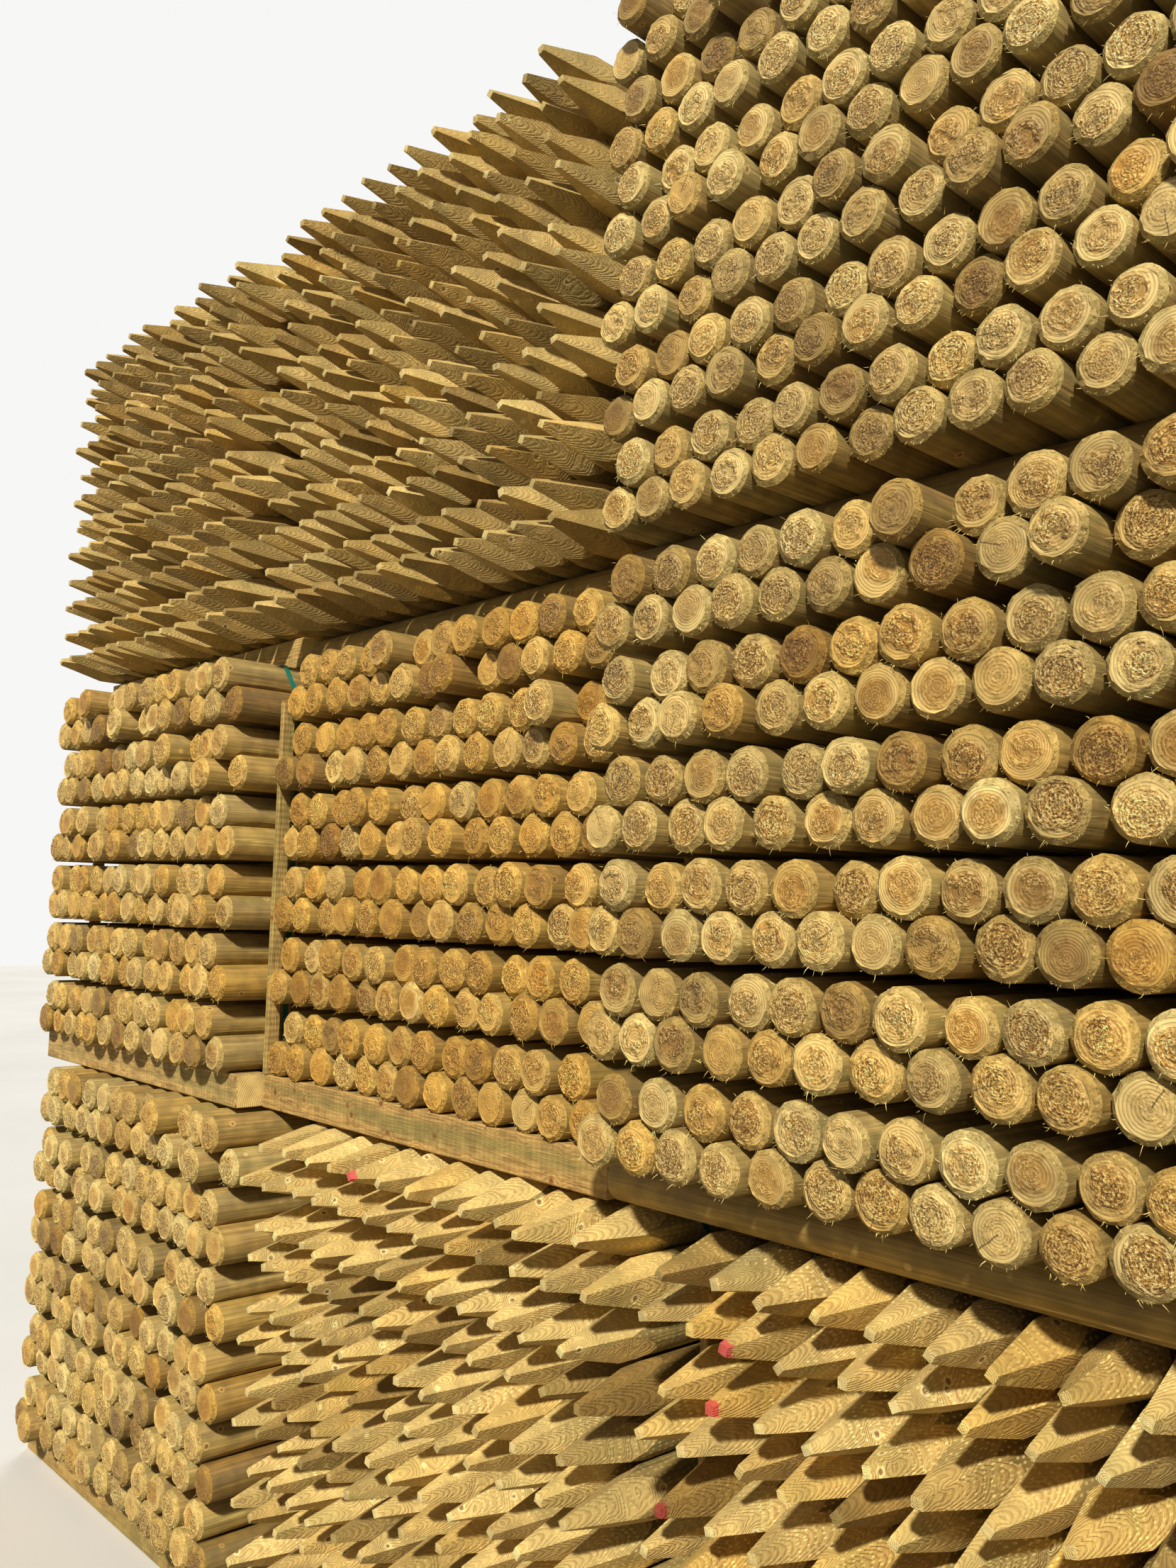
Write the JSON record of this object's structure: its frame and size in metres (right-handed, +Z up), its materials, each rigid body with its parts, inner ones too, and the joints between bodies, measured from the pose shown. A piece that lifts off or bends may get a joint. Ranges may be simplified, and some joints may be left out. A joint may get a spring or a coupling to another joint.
{
  "type": "stack of logs",
  "caption": "Round timber posts, butted at one end and hewn to a point at the other, strapped in packs that stand on bearers side by side and one on another.",
  "frame": {"origin": "on the floor under the middle of the stack's box", "axes": "+Z up, the posts lie along Y, +X to the right of someone who faces the stack's front, which is the -Y side"},
  "size_m": [4.4346, 2.0262, 3.7864],
  "materials": {
    "post_wood": "rough sawn",
    "sawn_wood": "rough sawn",
    "bearer_wood": "rough sawn",
    "strap_plastic": "smooth"
  },
  "bodies": {
    "root": {"battens_bottom_centre": "sawn_wood", "battens_bottom_left": "sawn_wood", "battens_bottom_right": "sawn_wood", "battens_middle_centre": "sawn_wood", "battens_middle_left": "sawn_wood", "battens_middle_right": "sawn_wood", "battens_top_centre": "sawn_wood", "battens_top_left": "sawn_wood", "battens_top_right": "sawn_wood", "bearer_front_bottom_centre": "bearer_wood", "bearer_front_bottom_left": "bearer_wood", "bearer_front_bottom_right": "bearer_wood", "bearer_front_middle_centre": "bearer_wood", "bearer_front_middle_left": "bearer_wood", "bearer_front_middle_right": "bearer_wood", "bearer_front_top_centre": "bearer_wood", "bearer_front_top_left": "bearer_wood", "bearer_front_top_right": "bearer_wood", "bearer_rear_bottom_centre": "bearer_wood", "bearer_rear_bottom_left": "bearer_wood", "bearer_rear_bottom_right": "bearer_wood", "bearer_rear_middle_centre": "bearer_wood", "bearer_rear_middle_left": "bearer_wood", "bearer_rear_middle_right": "bearer_wood", "bearer_rear_top_centre": "bearer_wood", "bearer_rear_top_left": "bearer_wood", "bearer_rear_top_right": "bearer_wood", "laths_bottom_centre": "sawn_wood", "laths_bottom_left": "sawn_wood", "laths_bottom_right": "sawn_wood", "laths_middle_centre": "sawn_wood", "laths_middle_left": "sawn_wood", "laths_middle_right": "sawn_wood", "laths_top_centre": "sawn_wood", "laths_top_left": "sawn_wood", "laths_top_right": "sawn_wood", "posts_bottom_centre": "post_wood", "posts_bottom_left": "post_wood", "posts_bottom_right": "post_wood", "posts_middle_centre": "post_wood", "posts_middle_left": "post_wood", "posts_middle_right": "post_wood", "posts_top_centre": "post_wood", "posts_top_left": "post_wood", "posts_top_right": "post_wood", "straps_bottom_centre": "strap_plastic", "straps_bottom_left": "strap_plastic", "straps_bottom_right": "strap_plastic", "straps_middle_centre": "strap_plastic", "straps_middle_left": "strap_plastic", "straps_middle_right": "strap_plastic", "straps_top_centre": "strap_plastic", "straps_top_left": "strap_plastic", "straps_top_right": "strap_plastic"}
  },
  "joints": []
}
